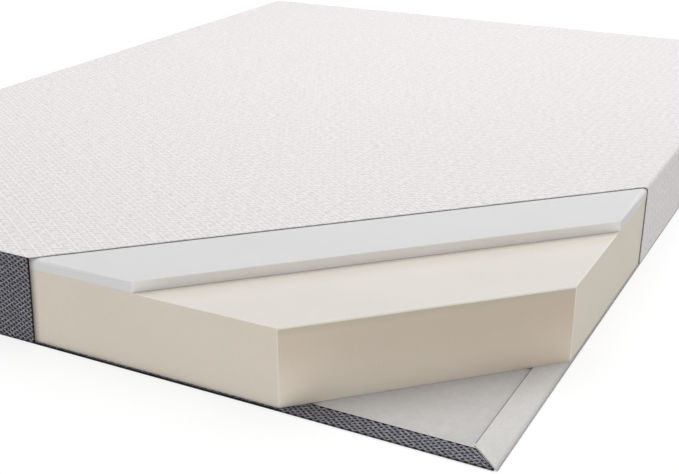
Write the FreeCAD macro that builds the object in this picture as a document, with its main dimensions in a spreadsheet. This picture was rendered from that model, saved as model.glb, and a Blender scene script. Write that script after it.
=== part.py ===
# Memory foam mattress with one front corner cut back in steps to show its layers.
# Millimetres. X across the bed, Y from the foot end to the head end, Z up.
# Origin: centre of the underside. The cut corner is at +X, -Y.
import FreeCAD, Part
import math
import os
import re
import Sketcher
from FreeCAD import Vector

SIZES = [
    ("overall_width", 1520.0, "across the bed, over the cover"),
    ("overall_length", 2030.0, "foot face to head face, over the cover"),
    ("knit_thickness", 1.4, "white knit of the top and long sides"),
    ("lining_thickness", 0.6, "dark lining under the knit"),
    ("mesh_thickness", 2.8, "grey spacer mesh of the end walls"),
    ("bottom_thickness", 1.0, "bottom panel"),
    ("hem_thickness", 2.0, "turned-in hem strip with its backing"),
    ("backing_thickness", 0.5, "backing under a grey hem strip"),
    ("core_thickness", 126.4, "support foam"),
    ("adhesive_thickness", 0.4, "bond between the foams"),
    ("memory_thickness", 18.0, "memory foam"),
    ("top_slack", 0.2, "memory foam to lining"),
    ("side_slack", 0.6, "foam to lining or end wall"),
    ("cover_radius", 7.0, "outside of the cover's long top edges"),
    ("foam_radius", 4.0, "edges of both foams"),
    ("cover_cut", 761.0, "corner to the cover's cut, along each edge"),
    ("memory_cut", 575.5, "corner to the memory foam's cut"),
    ("core_cut", 330.0, "corner to the core's cut"),
    ("adhesive_inset", 15.0, "bond film inside the foams' edges"),
    ("end_hem_width", 36.0, "grey hem strip, foot and head"),
    ("hem_rim", 8.0, "backing past a grey hem strip's inner edge"),
    ("mitre_rim", 4.0, "backing seen beside a mitre, across the bed"),
    ("side_hem_width", 48.0, "white hem strip, long sides"),
    ("zip_height", 60.0, "centre line of the zip above the underside"),
    ("zip_opening", 13.0, "gap between the two head panels"),
    ("tape_width", 16.0, "each zip tape"),
    ("tape_thickness", 0.6, "each zip tape"),
    ("coil_width", 2.7, "each zip coil, across the zip"),
    ("coil_thickness", 1.7, "each zip coil, out of the tape"),
    ("coil_parting", 1.0, "slit between the two coils and tapes"),
    ("coil_margin", 12.0, "tape left bare past each end of the coils"),
    ("stop_length", 4.0, "each zip end stop"),
    ("stop_height", 2.0, "each zip end stop, out of the tape"),
    ("stop_gap", 1.0, "slider to end stop at the ends of its travel"),
    ("slider_length", 11.0, "zip slider along the zip"),
    ("slider_plate", 1.0, "front and back plate of the slider"),
    ("slider_flange", 1.2, "side flange of the slider"),
    ("slider_clearance", 0.4, "slider to tape and coil"),
    ("post_width", 0.6, "post between the slider's plates"),
    ("post_length", 3.0, "post between the slider's plates"),
    ("pin_radius", 0.7, "hinge pin of the pull tab"),
    ("pin_clearance", 0.08, "pin to the tab's eye, on the radius"),
    ("eye_radius", 1.3, "outside of the tab's eye"),
    ("eye_width", 3.8, "tab's eye along the pin"),
    ("lug_radius", 1.6, "lugs that hold the pin"),
    ("lug_width", 1.0, "each lug along the pin"),
    ("lug_gap", 4.4, "between the lugs"),
    ("pull_length", 24.0, "hinge pin to the end of the tab"),
    ("pull_width", 7.0, "tab"),
    ("pull_thickness", 1.0, "tab"),
    ("pull_start", 2.5, "hinge pin to the wide part of the tab"),
    ("label_width", 60.0, "care label"),
    ("label_height", 34.0, "care label"),
    ("label_thickness", 0.3, "care label"),
    ("label_offset", 420.0, "care label's centre from the mattress's centre line"),
    ("label_level", 12.0, "care label's lower edge above the underside"),
]

doc = FreeCAD.newDocument("mattress")
sizes = doc.addObject("Spreadsheet::Sheet", "Sizes")
for row, (alias, value, note) in enumerate(SIZES, start=1):
    sizes.set(f"A{row}", alias)
    sizes.set(f"B{row}", str(value))
    sizes.set(f"C{row}", note)
    sizes.setAlias(f"B{row}", alias)
doc.recompute()
ALIASES = {alias for alias, value, note in SIZES}

# Places worked out from the sizes, as expressions.
half_width = "(overall_width / 2)"
half_length = "(overall_length / 2)"
hem_top = "(bottom_thickness + hem_thickness)"
core_top = f"({hem_top} + core_thickness)"
memory_base = f"({core_top} + adhesive_thickness)"
lining_base = f"({memory_base} + memory_thickness + top_slack)"
knit_base = f"({lining_base} + lining_thickness)"
cover_top = f"({knit_base} + knit_thickness)"
inside_knit = f"({half_width} - knit_thickness)"
inside_lining = f"({inside_knit} - lining_thickness)"
foam_side = f"({inside_lining} - side_slack)"
foam_foot = f"(-{half_length} + mesh_thickness + side_slack)"
tape_face = f"({half_length} - mesh_thickness)"
slider_back = "(tape_thickness + slider_clearance + slider_plate)"
foam_head = f"({tape_face} - {slider_back} - side_slack)"
coil_end = f"({foam_side} - coil_margin)"
coil_inner = "(coil_parting / 2)"
coil_outer = "(coil_parting / 2 + coil_width)"
flange_inner = f"({coil_outer} + slider_clearance)"
flange_outer = f"({flange_inner} + slider_flange)"
plate_inner = "(coil_thickness + slider_clearance)"
plate_outer = f"({plate_inner} + slider_plate)"
slider_rest = f"(-{coil_end} + slider_length / 2 + stop_gap)"
pin_axis = f"({plate_outer} + lug_radius)"
backing_width = "(end_hem_width + hem_rim)"

subparts = []


def linked(text):
    """Turn size names in an expression into references to the sheet."""
    return re.sub(r"[a-z_]+", lambda found: f"Sizes.{found[0]}" if found[0] in ALIASES else found[0], text)


def new_body(name):
    body = doc.addObject("PartDesign::Body", name)
    body.Label = name
    subparts.append(body)
    return body


def place(thing, across="0", along="0", up="0"):
    """Bind a sub-part's place to the sheet."""
    for axis, text in (("x", across), ("y", along), ("z", up)):
        thing.setExpression(f"Placement.Base.{axis}", linked(text))


def outline(body, name, role, corners, offset="0"):
    """Closed polygon sketch off one of the body's origin planes, every corner bound to the sheet."""
    sketch = body.newObject("Sketcher::SketchObject", name)
    plane = next(feature for feature in body.Origin.OriginFeatures if feature.Role == role)
    sketch.AttachmentSupport = [(plane, "")]
    sketch.MapMode = "FlatFace"
    sketch.setExpression("AttachmentOffset.Base.z", linked(offset))
    count = len(corners)
    turns = [2 * math.pi * k / count for k in range(count)]
    start = [Vector(100 * math.cos(turn), 100 * math.sin(turn), 0) for turn in turns]
    for k in range(count):
        sketch.addGeometry(Part.LineSegment(start[k], start[(k + 1) % count]))
    for k in range(count):
        sketch.addConstraint(Sketcher.Constraint("Coincident", k, 2, (k + 1) % count, 1))
    for k, (across, up) in enumerate(corners):
        for kind, text, value in (("DistanceX", across, start[k].x), ("DistanceY", up, start[k].y)):
            index = sketch.addConstraint(Sketcher.Constraint(kind, -1, 1, k, 1, value))
            sketch.setExpression(f"Constraints[{index}]", linked(text))
    return sketch


def pad(body, sketch, depth, reverse=False, both_ways=False):
    feature = body.newObject("PartDesign::Pad", f"{body.Name}_pad")
    feature.Profile = sketch
    feature.setExpression("Length", linked(depth))
    feature.Reversed = reverse
    feature.Midplane = both_ways
    doc.recompute()
    return feature


def round_edges(body, base, test, radius):
    """Fillet the edges of base that pass the test."""
    names = [f"Edge{k}" for k, edge in enumerate(base.Shape.Edges, start=1) if test(edge)]
    feature = body.newObject("PartDesign::Fillet", f"{body.Name}_round")
    feature.Base = (base, names)
    feature.setExpression("Radius", linked(radius))
    doc.recompute()
    return feature


def cut_corner(body, base, cut):
    """Take away the front corner in front of the 45 degree plane whose legs are the given cut."""
    beyond = "cover_cut / 10"
    corners = [
        (f"{half_width} + {beyond}", f"-{half_length} - {beyond}"),
        (f"{half_width} + {beyond}", f"-{half_length} + {cut} + {beyond}"),
        (f"{half_width} - {cut} - {beyond}", f"-{half_length} - {beyond}"),
    ]
    pocket = body.newObject("PartDesign::Pocket", f"{body.Name}_cut")
    pocket.Profile = outline(body, f"{body.Name}_corner", "XY_Plane", corners)
    pocket.Type = "ThroughAll"
    pocket.Reversed = True
    doc.recompute()
    if pocket.Shape.Volume > base.Shape.Volume - 1.0:
        raise RuntimeError(f"{body.Name}: the corner cut takes nothing away")
    return pocket


def along_y(edge, height):
    """An edge that runs along the bed at the given height."""
    first, last = edge.Vertexes[0].Point, edge.Vertexes[-1].Point
    level = abs(first.z - height) < 0.01 and abs(last.z - height) < 0.01
    return level and abs(first.x - last.x) < 0.01


def foam_slab(name, level, thickness, cut, inset="0", radius=None):
    """A slab of foam inside the cover, with its corner cut back."""
    body = new_body(name)
    side, foot, head = f"({foam_side} - {inset})", f"({foam_foot} + {inset})", f"({foam_head} - {inset})"
    corners = [
        (f"-{side}", head),
        (f"-{side}", foot),
        (f"{half_width} - {cut} + {foot} + {half_length}", foot),
        (side, f"-{half_length} + {cut} - {half_width} + {side}"),
        (side, head),
    ]
    slab = pad(body, outline(body, f"{name}_plan", "XY_Plane", corners), thickness)
    if radius:
        round_edges(body, slab, lambda edge: True, radius)
    place(body, up=level)
    return body


def wrap(name, half, top, thickness, length, radius):
    """Cloth over the top and down both long sides, with its corner cut back."""
    body = new_body(name)
    inner, under = f"({half} - {thickness})", f"({top} - {thickness})"
    corners = [
        (f"-{half}", hem_top),
        (f"-{inner}", hem_top),
        (f"-{inner}", under),
        (inner, under),
        (inner, hem_top),
        (half, hem_top),
        (half, top),
        (f"-{half}", top),
    ]
    cloth = pad(body, outline(body, f"{name}_section", "XZ_Plane", corners), length, both_ways=True)
    crown = cloth.Shape.BoundBox.ZMax
    outer = round_edges(body, cloth, lambda edge: along_y(edge, crown), radius)
    floor = crown - sizes.get(thickness)
    inner_round = round_edges(body, outer, lambda edge: along_y(edge, floor), f"{radius} - {thickness}")
    cut_corner(body, inner_round, "cover_cut")
    return body


def end_wall(name, low, high, inner, rounded=True):
    """A wall of spacer mesh across an end, inside the knit; its sketch is on the face at inner."""
    body = new_body(name)
    corners = [(f"-{inside_knit}", low), (inside_knit, low), (inside_knit, high), (f"-{inside_knit}", high)]
    face = outline(body, f"{name}_face", "XZ_Plane", corners, f"-({inner})")
    wall = pad(body, face, "mesh_thickness")
    if rounded:
        crown = wall.Shape.BoundBox.ZMax
        wall = round_edges(body, wall, lambda edge: along_y(edge, crown), "cover_radius - knit_thickness")
    return body, wall


def plate_on_end(name, left, right, low, high, inner, outer):
    """A flat piece parallel to the head face; inner and outer are its faces along Y from the tape's face."""
    body = new_body(name)
    corners = [(left, low), (right, low), (right, high), (left, high)]
    pad(body, outline(body, f"{name}_face", "XZ_Plane", corners), f"{outer} - {inner}")
    place(body, along=f"{tape_face} + {outer}", up="zip_height")
    return body


def hem(name, corners, level, thickness):
    """A flat strip of cloth turned in under the core."""
    body = new_body(name)
    pad(body, outline(body, f"{name}_plan", "XY_Plane", corners), thickness)
    place(body, up=level)
    return body


def end_hem(side, width, back):
    """Plan of a hem strip across one end, mitred at both corners and drawn back from the mitre."""
    outer = f"({half_width} - {back})"
    inner = f"({outer} - {width} * side_hem_width / {backing_width})"
    return [
        (f"-{outer}", f"{side} * {half_length}"),
        (f"-{inner}", f"{side} * ({half_length} - {width})"),
        (inner, f"{side} * ({half_length} - {width})"),
        (outer, f"{side} * {half_length}"),
    ]


def side_hem(side):
    """Plan of the hem strip along one long side, mitred at both ends."""
    return [
        (f"{side} * {half_width}", f"-{half_length}"),
        (f"{side} * ({half_width} - side_hem_width)", f"-{half_length} + {backing_width}"),
        (f"{side} * ({half_width} - side_hem_width)", f"{half_length} - {backing_width}"),
        (f"{side} * {half_width}", f"{half_length}"),
    ]


def block(name, low, high):
    """A box between two corners given as expressions."""
    box = doc.addObject("Part::Box", name)
    for key, start, end in zip(("Length", "Width", "Height"), low, high):
        box.setExpression(key, linked(f"{end} - ({start})"))
    place(box, *low)
    return box


def rod(name, radius, length, along):
    """A round bar along Z, centred on the pin's axis at the given place along Y."""
    bar = doc.addObject("Part::Cylinder", name)
    bar.setExpression("Radius", linked(radius))
    bar.setExpression("Height", linked(length))
    place(bar, along=along, up=f"-({length}) / 2")
    return bar


def join(name, pieces):
    whole = doc.addObject("Part::MultiFuse", name)
    whole.Shapes = pieces
    whole.Refine = True
    return whole


# Foams.
foam_slab("core_foam", hem_top, "core_thickness", "core_cut", radius="foam_radius")
foam_slab("foam_adhesive", core_top, "adhesive_thickness", "(memory_cut + adhesive_inset)", "adhesive_inset")
under_cover = "max(foam_radius; cover_radius - knit_thickness - lining_thickness)"
foam_slab("memory_foam", memory_base, "memory_thickness", "memory_cut", radius=under_cover)

# Cover: knit, its lining, the end walls and the bottom panel.
wrap("top_cover_knit", half_width, cover_top, "knit_thickness", "overall_length", "cover_radius")
lining_length = "overall_length - 2 * mesh_thickness"
lining_radius = "(cover_radius - knit_thickness)"
wrap("top_cover_lining", inside_knit, knit_base, "lining_thickness", lining_length, lining_radius)

foot, foot_wall = end_wall("foot_panel", hem_top, knit_base, f"-{half_length} + mesh_thickness")
cut_corner(foot, foot_wall, "cover_cut")
end_wall("head_panel_lower", hem_top, "zip_height - zip_opening / 2", half_length, rounded=False)
end_wall("head_panel_upper", "zip_height + zip_opening / 2", knit_base, half_length)
sheet_corners = [
    (f"-{half_width}", f"-{half_length}"),
    (half_width, f"-{half_length}"),
    (half_width, half_length),
    (f"-{half_width}", half_length),
]
hem("bottom_panel", sheet_corners, "0", "bottom_thickness")

# Hems turned in under the core, mitred at the corners.
strip_level = "bottom_thickness + backing_thickness"
for end, side in (("foot", -1), ("head", 1)):
    hem(f"{end}_hem_backing", end_hem(side, backing_width, "0"), "bottom_thickness", "backing_thickness")
    strip = end_hem(side, "end_hem_width", "mitre_rim")
    hem(f"{end}_hem_strip", strip, strip_level, "hem_thickness - backing_thickness")
for end, side in (("right", 1), ("left", -1)):
    hem(f"side_hem_strip_{end}", side_hem(side), "bottom_thickness", "hem_thickness")

# Zip across the head end. Its own places are measured from the tape's outer face and its centre line.
for end, side in (("upper", 1), ("lower", -1)):
    edge_near, edge_far = f"{side} * {coil_inner}", f"{side} * ({coil_inner} + tape_width)"
    tape_sides = (edge_near, edge_far) if side > 0 else (edge_far, edge_near)
    plate_on_end(f"zip_tape_{end}", f"-{foam_side}", foam_side, *tape_sides, "-tape_thickness", "0")
    row_near, row_far = f"{side} * {coil_inner}", f"{side} * {coil_outer}"
    row_sides = (row_near, row_far) if side > 0 else (row_far, row_near)
    plate_on_end(f"zip_coil_{end}", f"-{coil_end}", coil_end, *row_sides, "0", "coil_thickness")

stops = doc.addObject("Part::Compound", "zip_stops")
stops.Label = "zip_stops"
stops.Links = [
    block(
        "stop_closed",
        (f"-{coil_end} - stop_length", "0", f"-{coil_outer}"),
        (f"-{coil_end}", "stop_height", coil_outer),
    ),
    block(
        "stop_open",
        (coil_end, "0", f"-{coil_outer}"),
        (f"{coil_end} + stop_length", "stop_height", coil_outer),
    ),
]
place(stops, along=tape_face, up="zip_height")
subparts.append(stops)

reach = "slider_length / 2"
back_inner = "(-tape_thickness - slider_clearance)"
slider_pieces = [
    block("front_plate", (f"-{reach}", plate_inner, f"-{flange_outer}"), (reach, plate_outer, flange_outer)),
    block(
        "back_plate",
        (f"-{reach}", f"-{slider_back}", f"-{flange_outer}"),
        (reach, back_inner, flange_outer),
    ),
    block(
        "post",
        ("-post_length / 2", back_inner, "-post_width / 2"),
        ("post_length / 2", plate_inner, "post_width / 2"),
    ),
    rod("pin", "pin_radius", "lug_gap + 2 * lug_width", pin_axis),
]
for end, side in (("upper", 1), ("lower", -1)):
    flange_low = flange_inner if side > 0 else f"-{flange_outer}"
    flange_high = flange_outer if side > 0 else f"-{flange_inner}"
    lug_low = "lug_gap / 2" if side > 0 else "-(lug_gap / 2 + lug_width)"
    lug_high = f"{lug_low} + lug_width"
    slider_pieces += [
        block(
            f"flange_{end}",
            (f"-{reach}", "slider_clearance", flange_low),
            (reach, plate_inner, flange_high),
        ),
        block(f"lug_foot_{end}", ("-lug_radius", plate_outer, lug_low), ("lug_radius", pin_axis, lug_high)),
    ]
    lug = rod(f"lug_{end}", "lug_radius", "lug_width", pin_axis)
    lug.setExpression("Placement.Base.z", linked(lug_low))
    slider_pieces.append(lug)
slider = join("zip_slider", slider_pieces)
slider.Label = "zip_slider"
place(slider, slider_rest, tape_face, "zip_height")
subparts.append(slider)

# Pull tab, drawn about its hinge pin and lying along +X.
tab_solid = join(
    "tab_solid",
    [
        rod("eye", "eye_radius", "eye_width", "0"),
        block(
            "neck",
            ("0", "-pull_thickness / 2", "-eye_width / 2"),
            ("pull_start", "pull_thickness / 2", "eye_width / 2"),
        ),
        block(
            "blade",
            ("pull_start", "-pull_thickness / 2", "-pull_width / 2"),
            ("pull_length", "pull_thickness / 2", "pull_width / 2"),
        ),
    ],
)
pull = doc.addObject("Part::Cut", "zip_pull_tab")
pull.Label = "zip_pull_tab"
pull.Base = tab_solid
pull.Tool = rod("eye_bore", "pin_radius + pin_clearance", "2 * eye_width", "0")
place(pull, slider_rest, f"{tape_face} + {pin_axis}", "zip_height")
subparts.append(pull)

plate_on_end(
    "care_label",
    "label_offset - label_width / 2",
    "label_offset + label_width / 2",
    "label_level - zip_height",
    "label_level + label_height - zip_height",
    "mesh_thickness",
    "mesh_thickness + label_thickness",
)

doc.recompute()
faults = [thing.Name for thing in doc.Objects if "Invalid" in thing.State or "Error" in thing.State]
faults += [part.Label for part in subparts if part.Shape.isNull() or not part.Shape.isValid()]
if faults:
    raise RuntimeError(f"these did not build: {faults}")

os.makedirs("parts", exist_ok=True)
for part in subparts:
    box = part.Shape.BoundBox
    part.Shape.exportStep(f"parts/{part.Label}.step")
    print(f"{part.Label:22s} {part.Shape.Volume / 1000:12.3f} cm3  solids {len(part.Shape.Solids)}"
          f"  x {box.XMin:8.2f} {box.XMax:8.2f}  y {box.YMin:9.2f} {box.YMax:9.2f}"
          f"  z {box.ZMin:7.2f} {box.ZMax:7.2f}")
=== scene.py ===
# Memory foam mattress with one corner cut back: knit cover, grey mesh ends, two foams, hems and a zip
import math
import bmesh
import bpy
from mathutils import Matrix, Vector, noise


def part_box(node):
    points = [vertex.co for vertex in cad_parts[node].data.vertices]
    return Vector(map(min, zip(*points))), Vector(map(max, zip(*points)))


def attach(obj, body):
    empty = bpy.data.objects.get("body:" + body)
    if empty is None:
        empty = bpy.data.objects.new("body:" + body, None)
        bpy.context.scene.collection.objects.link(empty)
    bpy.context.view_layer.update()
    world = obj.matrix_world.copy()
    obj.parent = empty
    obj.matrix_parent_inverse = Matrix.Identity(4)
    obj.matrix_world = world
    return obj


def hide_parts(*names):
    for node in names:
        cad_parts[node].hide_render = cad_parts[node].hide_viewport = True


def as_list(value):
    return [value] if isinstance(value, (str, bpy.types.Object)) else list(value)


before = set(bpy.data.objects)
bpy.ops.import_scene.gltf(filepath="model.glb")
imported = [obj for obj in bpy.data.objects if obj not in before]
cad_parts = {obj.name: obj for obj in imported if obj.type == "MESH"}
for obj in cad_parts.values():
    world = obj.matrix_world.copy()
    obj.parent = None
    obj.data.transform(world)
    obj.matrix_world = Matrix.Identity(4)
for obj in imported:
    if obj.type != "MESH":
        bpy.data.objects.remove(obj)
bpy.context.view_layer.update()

# places taken from the frame, metres
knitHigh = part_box("top_cover_knit")[1]
liningLow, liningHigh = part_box("top_cover_lining")
coreLow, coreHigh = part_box("core_foam")
memoryLow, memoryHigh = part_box("memory_foam")
bottomLow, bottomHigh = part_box("bottom_panel")
backingLow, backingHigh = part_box("foot_hem_backing")
sideHemLow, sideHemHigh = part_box("side_hem_strip_right")
halfWidth, halfLength, coverTop = knitHigh.x, knitHigh.y, knitHigh.z
hemTop = coreLow.z
hemSlope = (sideHemHigh.x - sideHemLow.x) / (backingHigh.y - backingLow.y)  # of the corner mitres


def cutPlane(node):  # x - y everywhere on the node's 45 degree cut
    return max(v.co.x - v.co.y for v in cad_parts[node].data.vertices)


coverCut, memoryCut, coreCut = cutPlane("top_cover_knit"), cutPlane("memory_foam"), cutPlane("core_foam")

# camera, floor and light
cameraSet = {"place": (1.148, -2.199, 0.825), "pitch": 67.91, "yaw": 27.50, "lens": 59.84}
worldStrength = 0.20  # as it lights the object; seen by the camera it is white
lightSet = {
    "top": {"place": (0.1, 1.2, 4.0), "aim": (0, 0.9, 0), "size": (5, 6), "power": 209},
    "left": {"place": (-3.4, -3.0, 1.5), "aim": (0.2, -0.8, 0.1), "size": (2.2, 2.2), "power": 26},
    "front": {"place": (2.9, -3.1, 0.45), "aim": (0.3, -0.5, 0.05), "size": (3.0, 0.8), "power": 16.6},
}
floorSet = {"size": 40, "drop": 0.0005, "shade": 0.25, "glow": 0.785}


def addObject(name, data):
    thing = bpy.data.objects.new(name, data)
    bpy.context.scene.collection.objects.link(thing)
    return thing


def makeCamera(values):
    camera = addObject("camera", bpy.data.cameras.new("camera"))
    camera.location = values["place"]
    camera.rotation_euler = (math.radians(values["pitch"]), 0, math.radians(values["yaw"]))
    camera.data.lens = values["lens"]
    camera.data.clip_end = 100
    bpy.context.scene.camera = camera


def makeLight(name, values):
    lamp = bpy.data.lights.new(name, "AREA")
    lamp.shape = "RECTANGLE"
    lamp.size, lamp.size_y = values["size"]
    lamp.energy = values["power"]
    light = addObject(name, lamp)
    light.location = values["place"]
    toward = Vector(values["aim"]) - Vector(values["place"])
    light.rotation_euler = toward.to_track_quat("-Z", "Y").to_euler()


def makeWorld(strength):
    world = bpy.data.worlds.new("studio")
    world.use_nodes = True
    world.node_tree.nodes["Background"].inputs["Color"].default_value = (1, 1, 1, 1)
    seen = world.node_tree.nodes.new("ShaderNodeLightPath").outputs["Is Camera Ray"]
    shown = world.node_tree.nodes.new("ShaderNodeMapRange")
    shown.inputs["To Min"].default_value, shown.inputs["To Max"].default_value = strength, 1.0
    world.node_tree.links.new(seen, shown.inputs["Value"])
    world.node_tree.links.new(shown.outputs[0], world.node_tree.nodes["Background"].inputs["Strength"])
    bpy.context.scene.world = world


def makeFloor(values):
    bpy.ops.mesh.primitive_plane_add(size=values["size"], location=(0, 0, -values["drop"]))
    floor = bpy.context.object
    floor.name = "floor"
    material = bpy.data.materials.new("paleFloor")
    material.use_nodes = True
    shader = material.node_tree.nodes["Principled BSDF"]
    shader.inputs["Base Color"].default_value = (*[values["shade"]] * 3, 1)
    shader.inputs["Roughness"].default_value = 1.0
    shader.inputs["Specular IOR Level"].default_value = 0.0
    shader.inputs["Emission Color"].default_value = (1, 1, 1, 1)
    shader.inputs["Emission Strength"].default_value = values["glow"]
    floor.data.materials.append(material)


makeCamera(cameraSet)
makeWorld(worldStrength)
for lampName, lampValues in lightSet.items():
    makeLight(f"{lampName}Light", lampValues)
makeFloor(floorSet)
bpy.context.scene.view_settings.view_transform = "Standard"
print("camera, light and floor made")


class Tree:  # a node tree, for a finish or a shape, with short ways to add to it
    def __init__(self, tree):
        self.tree = tree

    def add(self, kind, inputs=None, **settings):
        node = self.tree.nodes.new(kind)
        for key, value in settings.items():
            setattr(node, key, value)
        for key, value in (inputs or {}).items():
            self.put(node.inputs[key], value)
        return node

    def put(self, socket, value):  # a link from another node, or a fixed value
        if isinstance(value, bpy.types.NodeSocket):
            self.tree.links.new(value, socket)
        elif value is not None:
            socket.default_value = value

    def math(self, operation, *values):
        return self.add("ShaderNodeMath", dict(enumerate(values)), operation=operation).outputs[0]

    def plus(self, first, second):
        return self.math("ADD", first, second)

    def minus(self, first, second):
        return self.math("SUBTRACT", first, second)

    def times(self, first, second):
        return self.math("MULTIPLY", first, second)

    def ramp(self, value, low, high, start=0.0, end=1.0):  # start below low, end above high
        inputs = {"Value": value, "From Min": low, "From Max": high, "To Min": start, "To Max": end}
        return self.add("ShaderNodeMapRange", inputs, interpolation_type="SMOOTHSTEP").outputs["Result"]

    def away(self, value):  # distance from the nearest half number: 0 there, 0.5 at whole numbers
        return self.math("ABSOLUTE", self.minus(self.math("FRACT", value), 0.5))

    def wave(self, value, pitch):  # cosine of that pitch, -1 to 1
        return self.math("COSINE", self.times(value, 2 * math.pi / pitch))

    def noise(self, vector, scale, detail=2.0, rough=0.5):
        inputs = {"Vector": vector, "Scale": scale, "Detail": detail, "Roughness": rough}
        return self.add("ShaderNodeTexNoise", inputs).outputs[0]

    def vector(self, *values):
        return self.add("ShaderNodeCombineXYZ", dict(enumerate(values))).outputs[0]

    def split(self, vector):
        return self.add("ShaderNodeSeparateXYZ", {0: vector}).outputs


# the knit's diamonds, in relief and in shade
def diamonds(n, across, along, cellAcross, cellAlong):
    p, q = n.math("DIVIDE", across, cellAcross), n.math("DIVIDE", along, cellAlong)
    fall, rise = n.away(n.plus(p, q)), n.away(n.minus(p, q))
    edge = n.math("MINIMUM", fall, rise)
    strong = n.ramp(rise, 0.04, 0.13, 1.0, 0.0)
    ridge = n.math("MAXIMUM", strong, n.ramp(fall, 0.03, 0.11, 0.45, 0.0))
    groove = n.times(n.ramp(edge, 0.10, 0.16), n.ramp(edge, 0.20, 0.30, 1.0, 0.0))
    dot = n.ramp(edge, 0.38, 0.46)
    return ridge, groove, dot


# the mesh's slanted pits and the strands between them
def pits(n, across, along, cellAcross, cellAlong):
    p, q = n.math("DIVIDE", across, cellAcross), n.math("DIVIDE", along, cellAlong)
    fall = n.away(n.plus(p, q))  # strands down to the right are at 0
    rise = n.away(n.minus(p, q))  # strands up to the right are at 0
    pit = n.times(n.ramp(fall, 0.17, 0.30), n.ramp(rise, 0.10, 0.20))
    return pit, n.ramp(rise, 0.0, 0.12, 1.0, 0.0)


class Finish(Tree):  # a procedural material
    def __init__(self, name):
        self.material = bpy.data.materials.new(name)
        self.material.use_nodes = True
        super().__init__(self.material.node_tree)
        self.shader = self.tree.nodes["Principled BSDF"]

    def cloth(self):  # the cloth's own coordinates, across and along, metres
        spot = self.add("ShaderNodeUVMap", uv_map="cloth").outputs[0]
        return (spot, *self.split(spot)[:2])

    def place(self):
        return self.add("ShaderNodeTexCoord").outputs["Object"]

    def facing(self):
        return self.split(self.add("ShaderNodeNewGeometry").outputs["Normal"])

    def stored(self, name):
        return self.add("ShaderNodeAttribute", attribute_name=name).outputs["Fac"]

    def mix(self, share, first, second, blend="MIX"):
        first, second = [(*value, 1) if isinstance(value, tuple) else value for value in (first, second)]
        inputs = {0: share, 6: first, 7: second}
        return self.add("ShaderNodeMix", inputs, data_type="RGBA", blend_type=blend).outputs[2]

    def bump(self, height, distance, strength=1.0, after=None):
        inputs = {"Distance": distance, "Strength": strength, "Height": height, "Normal": after}
        return self.add("ShaderNodeBump", inputs).outputs["Normal"]

    def finish(self, colour, normal, roughness=0.9, specular=0.2, **more):
        inputs = {"Base Color": colour, "Normal": normal, "Roughness": roughness,
                  "Specular IOR Level": specular, **more}
        for name, value in inputs.items():
            self.put(self.shader.inputs[name.replace("_", " ")], value)
        return self.material


def scaled(colour, share):
    return tuple(c * share for c in colour)


knitLook = {
    "cell": (0.0357, 0.0229),  # of the diamonds, across and along
    "colour": (0.90, 0.864, 0.87),
    # ridge and groove: painted highlight on the raised lines and dots, painted shade in the grooves
    "ridge": 1.07,
    "groove": 0.87,
    "loop": (0.0016, 0.0021),
    "slub": (150, 260, 60),  # its fineness across, along, and along its own run
    "thin": 0.86, "full": 1.09,  # shades of the slub
    "sideShade": (0.90, 0.90, 0.885),  # painted shade on the long sides
}
meshLook = {
    "cell": (0.01215, 0.00838),
    "strand": (0.335, 0.33, 0.37),
    # bright: painted highlight on the strands that run up to the right, and the colour of random light flecks
    "bright": (0.61, 0.605, 0.66),
    # pit: painted shade in the holes
    "pit": (0.022, 0.022, 0.028),
    "rim": (0.006, 0.006, 0.008),
}


def whiteKnit(values):
    n = Finish("whiteKnit")
    spot, across, along = n.cloth()
    ridge, groove, dot = diamonds(n, across, along, *values["cell"])
    loops = n.times(n.wave(across, values["loop"][0]), n.wave(along, values["loop"][1]))
    slubAcross, slubAlong, slubRun = values["slub"]
    turned = n.minus(n.times(along, slubAlong), n.times(across, slubAcross))
    slub = n.noise(n.vector(n.times(n.plus(across, along), slubRun), turned), 1.0, 3)
    raised = n.math("MAXIMUM", ridge, n.times(dot, 0.7))
    base, toned = values["colour"], lambda key: scaled(values["colour"], values[key])
    # painted shade in the grooves and painted highlight on the ridges and dots
    colour = n.mix(raised, n.mix(groove, base, toned("groove")), toned("ridge"))
    colour = n.mix(n.ramp(slub, 0.54, 0.66), colour, toned("thin"))
    colour = n.mix(n.ramp(slub, 0.46, 0.34), colour, toned("full"))
    # the long sides darkened: painted shade
    sideShade = n.ramp(n.math("ABSOLUTE", n.facing()[0]), 0.5, 0.95)
    colour = n.mix(sideShade, colour, n.mix(1.0, colour, values["sideShade"], "MULTIPLY"))
    normal = n.bump(loops, 0.00012, 0.4, n.bump(n.minus(raised, groove), 0.0006, 0.8))
    return n.finish(colour, n.bump(slub, 0.0006, 0.5, normal), Sheen_Weight=0.1)


def greyMesh(values):
    n = Finish("greyMesh")
    spot, across, along = n.cloth()
    pit, rise = pits(n, across, along, *values["cell"])
    thread = n.times(n.wave(across, values["cell"][0] / 9), n.wave(along, values["cell"][1] / 6))
    mottle = n.noise(spot, 240, 3)
    # painted highlight on the strands that run up to the right
    strand = n.mix(n.times(rise, 0.75), values["strand"], values["bright"])
    strand = n.mix(n.ramp(mottle, 0.42, 0.62), scaled(values["strand"], 0.55), strand)
    strand = n.mix(n.ramp(mottle, 0.60, 0.72, 0.0, 0.5), strand, values["bright"])
    # painted shade in the holes
    colour = n.mix(pit, strand, values["pit"])
    colour = n.mix(n.ramp(n.stored("rim"), 0.25, 0.75), colour, values["rim"])
    return n.finish(colour, n.bump(thread, 0.00025, 0.6, n.bump(pit, 0.0008, 0.4)), roughness=0.8)


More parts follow.
